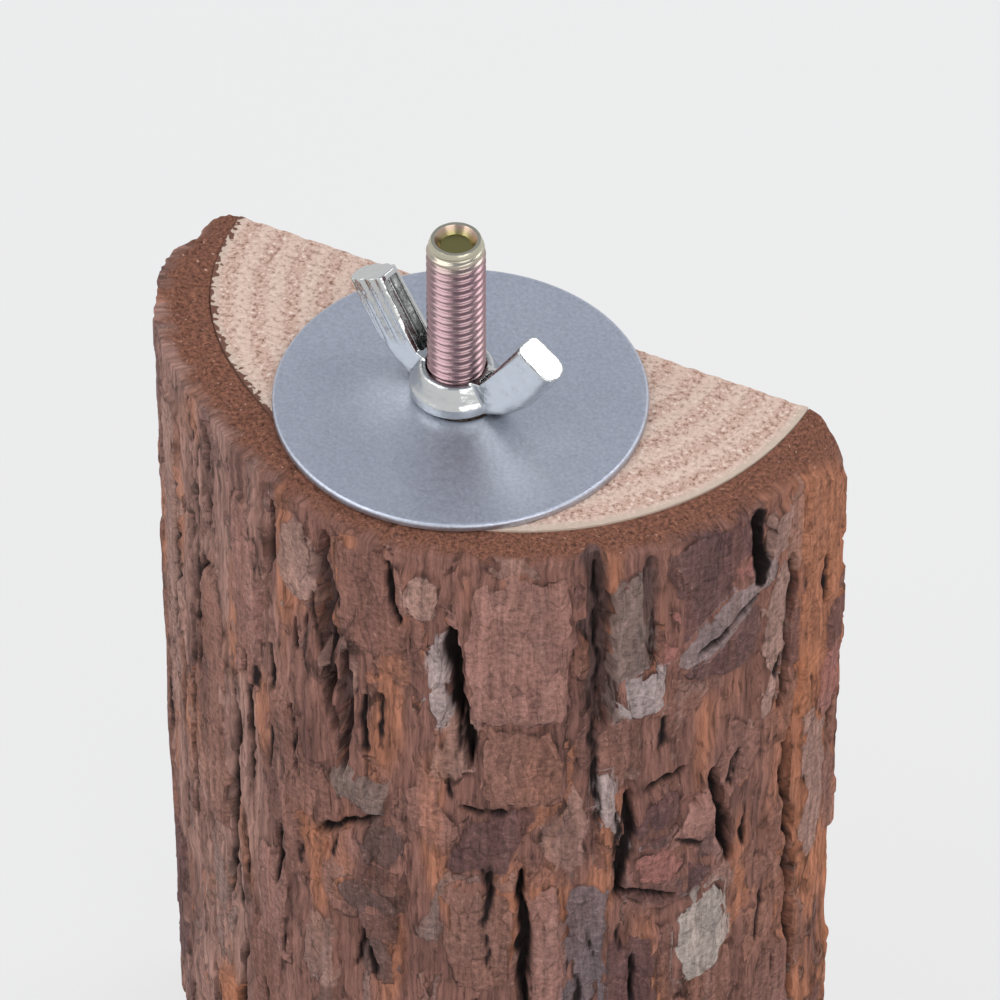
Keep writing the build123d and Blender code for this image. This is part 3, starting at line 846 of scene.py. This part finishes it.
bolt = threaded(
    "hanger_bolt_threaded", thread_radius - thread_depth, thread_depth, thread_sharpness, thread_pitch,
    -seat, bolt_high.z, stud_shape,
)
cup = turned(
    "cup_cutter",
    [
        (0, bolt_high.z - cup_depth),
        (cup_floor_radius, bolt_high.z - cup_depth),
        (cup_radius + (cup_radius - cup_floor_radius) * seat / cup_depth, bolt_high.z + seat),
        (0, bolt_high.z + seat),
    ],
    round_sides,
)
combine(bolt, cup, "DIFFERENCE")
shank = turned(
    "shank", [(0, -shank_length), (shank_radius, -shank_length), (shank_radius, 0), (0, 0)], round_sides
)
combine(bolt, shank, "UNION")
wood_screw = threaded(
    "wood_screw", screw_radius - screw_depth, screw_depth, screw_sharpness, screw_pitch,
    bolt_low.z, -shank_length + seat, screw_shape,
)
combine(bolt, wood_screw, "UNION")

# Yellow-chromated zinc: metal whose thin film is pink on the thread, pale gold at the tip, olive in the cup
yellow_zinc, tree, surface = new_material("yellow_chromate_zinc", {"Metallic": 1.0, "Roughness": 0.25})
place = add_node(tree, "TexCoord", output="Object")
up_bolt = add_node(tree, "SeparateXYZ", (place,), output="Z")
film = add_node(tree, "TexNoise", {"Vector": place, "Scale": 1 / (5 * mm), "Detail": 3.0})
film_height = add_node(tree, "MapRange", (up_bolt, bolt_high.z - 3.2 * mm, bolt_high.z - 0.9 * mm))
pink_gold = add_node(tree, "Mix", {0: film, 6: linear("#977880"), 7: linear("#998583")}, data_type="RGBA")
gold_tip = add_node(tree, "Mix", {0: film_height, 6: pink_gold, 7: linear("#bfbaa6")}, data_type="RGBA")
off_axis = add_node(tree, "VectorMath", (place, (1, 1, 0)), operation="MULTIPLY")
off_axis_gap = add_node(tree, "VectorMath", (off_axis,), operation="LENGTH")
in_cup = add_node(tree, "MapRange", (off_axis_gap, cup_radius, cup_floor_radius))
cup_wall = add_node(tree, "Mix", {0: in_cup, 6: linear("#b0968c"), 7: linear("#8f8857")}, data_type="RGBA")
near_tip = add_node(tree, "MapRange", (up_bolt, bolt_high.z - 1.4 * mm, bolt_high.z - 1.2 * mm))
inside_rim = add_node(tree, "MapRange", (off_axis_gap, cup_radius + 0.1 * mm, cup_radius - 0.1 * mm))
cup_share = add_node(tree, "Math", (near_tip, inside_rim), operation="MULTIPLY")
stud_tone = add_node(tree, "Mix", {0: cup_share, 6: gold_tip, 7: cup_wall}, data_type="RGBA")
tree.links.new(stud_tone, surface.inputs["Base Color"])
grit = add_node(tree, "TexNoise", {"Vector": place, "Scale": 1 / (0.4 * mm), "Detail": 3.0})
grit_bump = add_node(tree, "Bump", {"Height": grit, "Strength": 0.25, "Distance": 0.05 * mm})
tree.links.new(grit_bump, surface.inputs["Normal"])
dress(bolt, yellow_zinc, 50)
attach(bolt, "perch")
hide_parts("hanger_bolt")

# Washer
# A wide washer stamped from sheet steel, its upper edge rolled over by the die, and barrel zinc
# plated, which leaves it satin. It lies loose on the sawn end, under the nut, off the bolt's axis.
washer_low, washer_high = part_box("washer")
washer_radius = (washer_high.x - washer_low.x) / 2
washer_hole = 4.95 * mm
washer_roll = 0.45 * mm
washer_burr = 0.12 * mm
washer_shift_x = 0.82 * mm
washer_shift_y = -0.5 * mm
roll_steps = 5
washer_sides = 160


def rolled(radius, height, size, start):
    """Points round a rolled edge: its centre, its size and the angle it starts at."""
    turn = [math.radians(start + 90 * i / roll_steps) for i in range(roll_steps + 1)]
    return [(radius + size * math.cos(t), height + size * math.sin(t)) for t in turn]


top = washer_high.z
foot = washer_low.z
washer_outline = [
    *rolled(washer_radius - washer_burr, foot + washer_burr, washer_burr, -90),
    *rolled(washer_radius - washer_roll, top - washer_roll, washer_roll, 0),
    (washer_radius - 1.5 * washer_roll, top),
    (washer_radius - 3 * washer_roll, top),
    (washer_hole + 3 * washer_roll, top),
    (washer_hole + 1.5 * washer_roll, top),
    *rolled(washer_hole + washer_roll, top - washer_roll, washer_roll, 90),
    *rolled(washer_hole + washer_burr, foot + washer_burr, washer_burr, 180),
]
washer = turned("stamped_washer", washer_outline, washer_sides)
move_points(washer, points_of(washer) + (washer_shift_x, washer_shift_y, 0))

# Barrel zinc plate: satin metal, slightly blue and cloudy, with a fine crystalline mottle
satin_zinc, tree, surface = new_material("satin_zinc_plate", {"Metallic": 1.0})
place = add_node(tree, "TexCoord", output="Object")
mottle_zinc = add_node(
    tree, "TexNoise", {"Vector": place, "Scale": 1 / (0.7 * mm), "Detail": 4.0, "Roughness": 0.6}
)
cloud = add_node(tree, "TexNoise", {"Vector": place, "Scale": 1 / (11 * mm), "Detail": 4.0})
zinc_tone = add_node(tree, "Mix", {0: cloud, 6: linear("#b5bac6"), 7: linear("#c6cad4")}, data_type="RGBA")
crystal = add_node(tree, "TexNoise", {"Vector": place, "Scale": 1 / (0.5 * mm), "Detail": 3.0})
crystal_light = add_node(tree, "MapRange", (crystal, 0.3, 0.7, 0.9, 1.1))
spangled = add_node(tree, "VectorMath", {0: zinc_tone, "Scale": crystal_light}, operation="SCALE")
tree.links.new(spangled, surface.inputs["Base Color"])
satin = add_node(tree, "MapRange", (mottle_zinc, 0.3, 0.7, 0.41, 0.51))
tree.links.new(satin, surface.inputs["Roughness"])
mottle_bump = add_node(tree, "Bump", {"Height": mottle_zinc, "Strength": 0.35, "Distance": 0.12 * mm})
tree.links.new(mottle_bump, surface.inputs["Normal"])
dress(washer, satin_zinc, 30)
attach(washer, "washer")
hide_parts("washer")

# Wing nut
# A cold-formed steel wing nut: a bowl-shaped hub, and two blunt wings that sweep up from its foot,
# each with a channel pressed into its inner edge, all bright zinc plated. It is screwed down by hand.
nut_low, nut_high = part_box("wing_nut")
nut_base = nut_low.z
nut_bore = 4.0 * mm
nut_turn = math.radians(-11)
hub_outline = ((5.7, 0), (6.25, 0.5), (6.35, 1.9), (5.95, 2.5), (5.2, 4.1), (4.85, 4.7), (4.4, 4.8))
wing_outline = (
    (0, 0.6), (7.6, 0.5), (9.5, 1.6), (12.7, 4.9), (15.1, 8.5), (16.9, 11.9),
    (11.3, 15.0), (5.3, 5.4), (0, 4.1),
)
wing_thickness = 4.2 * mm
back_round = 1.7 * mm
lip_round = 1.2 * mm
lip_gap = 0.05 * mm
channel_width = 2.4 * mm
channel_depth = 2.1 * mm
channel_end = 0.9 * mm
groove_depth = 0.32 * mm
nut_sides = 96
bore_length = 12 * mm
voxel = 0.13 * mm

nut = turned(
    "formed_wing_nut",
    [(nut_bore, nut_base)]
    + [(r * mm, nut_base + z * mm) for r, z in hub_outline]
    + [(nut_bore, nut_base + hub_outline[-1][1] * mm)],
    nut_sides,
)


def slab(name, outline, thickness, side):
    """A flat solid in the plane of the wings, from an outline of (reach, rise) points."""
    corners = [(side * x, -thickness / 2, nut_base + z) for x, z in outline]
    piece = mesh_piece(name, corners, [], [list(range(len(corners)))])
    edit_all(piece)
    bpy.ops.mesh.extrude_region_move(TRANSFORM_OT_translate={"value": (0, thickness, 0)})
    bpy.ops.object.mode_set(mode="OBJECT")
    tidy_shell(piece)
    return piece


tip_high = np.array(wing_outline[6]) * mm
root_high = np.array(wing_outline[7]) * mm
lip_run = (tip_high - root_high) / np.linalg.norm(tip_high - root_high)
lip_in = np.array([lip_run[1], -lip_run[0]])
channel_start = root_high - lip_run * channel_depth
channel_stop = tip_high - lip_run * channel_end
channel_outline = (
    channel_start - lip_in * seat,
    channel_stop - lip_in * seat,
    channel_stop + lip_in * channel_depth,
    channel_start + lip_in * channel_depth,
)
for side in (1, -1):
    wing = slab("wing", [(x * mm, z * mm) for x, z in wing_outline], wing_thickness, side)
    start, end = edge_ends(wing)
    middle = (start + end) / 2 - (0, 0, nut_base)
    lengthwise = np.abs(start[:, 1] - end[:, 1]) < seat
    outer = (side * middle[:, 0] > 5 * mm) & (middle[:, 2] < 0.74 * side * middle[:, 0] + 0.6 * mm)
    bpy.ops.object.mode_set(mode="EDIT")
    select_edges(wing, lengthwise & outer)
    bpy.ops.mesh.bevel(offset=back_round, segments=6, affect="EDGES")
    bpy.ops.object.mode_set(mode="OBJECT")
    start, end = edge_ends(wing)
    lip_gaps = [(p[:, [0, 2]] * (side, 1) - (0, nut_base) - root_high) @ lip_in for p in (start, end)]
    on_lip = (np.abs(lip_gaps[0]) < lip_gap) & (np.abs(lip_gaps[1]) < lip_gap)
    bpy.ops.object.mode_set(mode="EDIT")
    select_edges(wing, on_lip & (np.abs(start[:, 1] - end[:, 1]) < lip_gap))
    bpy.ops.mesh.bevel(offset=lip_round, segments=5, affect="EDGES")
    bpy.ops.object.mode_set(mode="OBJECT")
    combine(nut, wing, "UNION")
for side in (1, -1):
    combine(nut, slab("channel", channel_outline, channel_width, side), "DIFFERENCE")
bore_top = nut_base + bore_length
bore_foot = nut_base - seat
bore_outline = [(0, bore_foot), (nut_bore, bore_foot), (nut_bore, bore_top), (0, bore_top)]
bore = turned("bore_cutter", bore_outline, nut_sides)
combine(nut, bore, "DIFFERENCE")
select_only(nut)
even = nut.modifiers.new("even", "REMESH")
even.mode = "VOXEL"
even.voxel_size = voxel
bpy.ops.object.modifier_apply(modifier=even.name)
soften = nut.modifiers.new("soften", "SMOOTH")
soften.factor = 0.5
soften.iterations = 9
bpy.ops.object.modifier_apply(modifier=soften.name)
points = points_of(nut)
from_root = np.column_stack([np.abs(points[:, 0]), points[:, 2] - nut_base]) - root_high
down_wing = from_root @ lip_in
along_wing = from_root @ lip_run
on_side = ramp(along_wing, 1.0 * mm, 3.0 * mm) * ramp(np.abs(points[:, 1]), 1.45 * mm, 1.9 * mm)
wing_share = np.where(points[:, 0] < 0, 1, 0.12)
groove_wave = 0.5 + 0.5 * np.cos(2 * np.pi * (down_wing / mm - 1.2) / 1.9)
groove = groove_depth * on_side * wing_share * groove_wave**1.5
points[:, 1] -= np.sign(points[:, 1]) * groove
turned_x = points[:, 0] * math.cos(nut_turn) - points[:, 1] * math.sin(nut_turn)
turned_y = points[:, 0] * math.sin(nut_turn) + points[:, 1] * math.cos(nut_turn)
points[:, 0] = turned_x
points[:, 1] = turned_y
points[:, 2] = np.clip(points[:, 2], nut_low.z, nut_high.z)
move_points(nut, points)

# Bright zinc plate: mirror-like metal over a formed surface that is not quite even
bright_look = {"Metallic": 1.0, "Base Color": linear("#c4c6c5")}
bright_zinc, tree, surface = new_material("bright_zinc_plate", bright_look)
place = add_node(tree, "TexCoord", output="Object")
haze = add_node(tree, "TexNoise", {"Vector": place, "Scale": 1 / (1.8 * mm), "Detail": 3.0})
gloss = add_node(tree, "MapRange", (haze, 0.3, 0.7, 0.12, 0.3))
tree.links.new(gloss, surface.inputs["Roughness"])
dimple = add_node(tree, "Bump", {"Height": haze, "Strength": 0.6, "Distance": 0.3 * mm})
tree.links.new(dimple, surface.inputs["Normal"])
nut.data.materials.append(bright_zinc)
select_only(nut)
bpy.ops.object.shade_smooth()
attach(nut, "wing_nut")
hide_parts("wing_nut")

# Studio
# A pale sweep under soft light from above, with the camera where the photograph was taken from.
floor_tone = "#eeeeee"
floor_glow = 0.8
floor_size = 30
sky_beside = (0.92, 0.92, 0.93, 1)
sky_above = (0.40, 0.43, 0.49, 1)
bpy.ops.object.select_all(action="DESELECT")
bpy.ops.mesh.primitive_plane_add(size=floor_size, location=(0, 0, core_low.z))
sweep = bpy.context.object
sweep.name = "sweep"
paper, tree, surface = new_material("white_paper", {"Base Color": linear("#e4e4e4"), "Roughness": 0.9})
camera_ray = add_node(tree, "LightPath", output="Is Camera Ray")
glossy_ray = add_node(tree, "LightPath", output="Is Glossy Ray")
seen = add_node(tree, "Math", (camera_ray, glossy_ray), operation="MAXIMUM")
seen_share = add_node(tree, "Math", (seen, floor_glow), operation="MULTIPLY")
glow = add_node(tree, "Emission", {"Color": linear(floor_tone), "Strength": 1.0})
paper_mix = add_node(tree, "MixShader", (seen_share, surface.outputs[0], glow))
tree.links.new(paper_mix, tree.nodes["Material Output"].inputs["Surface"])
sweep.data.materials.append(paper)

world = bpy.data.worlds.new("studio")
bpy.context.scene.world = world
world.use_nodes = True
tree = world.node_tree
sky = tree.nodes["Background"]
way = add_node(tree, "TexCoord", output="Generated")
way_up = add_node(tree, "SeparateXYZ", (way,), output="Z")
rise = add_node(tree, "MapRange", (way_up, 0.42, 0.66), interpolation_type="SMOOTHSTEP")
sky_tone = add_node(tree, "Mix", {0: rise, 6: sky_beside, 7: sky_above}, data_type="RGBA")
tree.links.new(sky_tone, sky.inputs["Color"])
sky.inputs["Strength"].default_value = 1.0

for name, place, size, power in (
    ("key", (-0.6, -0.6, 0.9), 1.0, 7.0),
    ("fill", (0.8, -0.5, 0.6), 0.8, 3.6),
    ("side", (0.52, 0.6, 0.9), 0.5, 3.0),
):
    lamp = bpy.data.lights.new(name, "AREA")
    lamp.shape = "SQUARE"
    lamp.size = size
    lamp.energy = power
    holder = bpy.data.objects.new(name, lamp)
    bpy.context.collection.objects.link(holder)
    holder.location = place
    aim = -holder.location.normalized()
    holder.rotation_mode = "QUATERNION"
    holder.rotation_quaternion = aim.to_track_quat("-Z", "Y")

azimuth = math.radians(26.55)
elevation = math.radians(43.95)
camera_distance = 0.9774
sensor_width = 36
focal_length = 261.9
aim_right = 5.73 * mm
aim_drop = 19.1 * mm
camera = bpy.data.cameras.new("camera")
camera.sensor_width = sensor_width
camera.lens = focal_length
viewer = bpy.data.objects.new("camera", camera)
bpy.context.collection.objects.link(viewer)
back = (
    math.sin(azimuth) * math.cos(elevation),
    -math.cos(azimuth) * math.cos(elevation),
    math.sin(elevation),
)
aim_point = (aim_right * math.cos(azimuth), aim_right * math.sin(azimuth), -aim_drop)
viewer.location = [a + camera_distance * b for a, b in zip(aim_point, back)]
viewer.rotation_euler = (math.pi / 2 - elevation, 0, azimuth)
bpy.context.scene.camera = viewer
bpy.context.scene.view_settings.view_transform = "Standard"
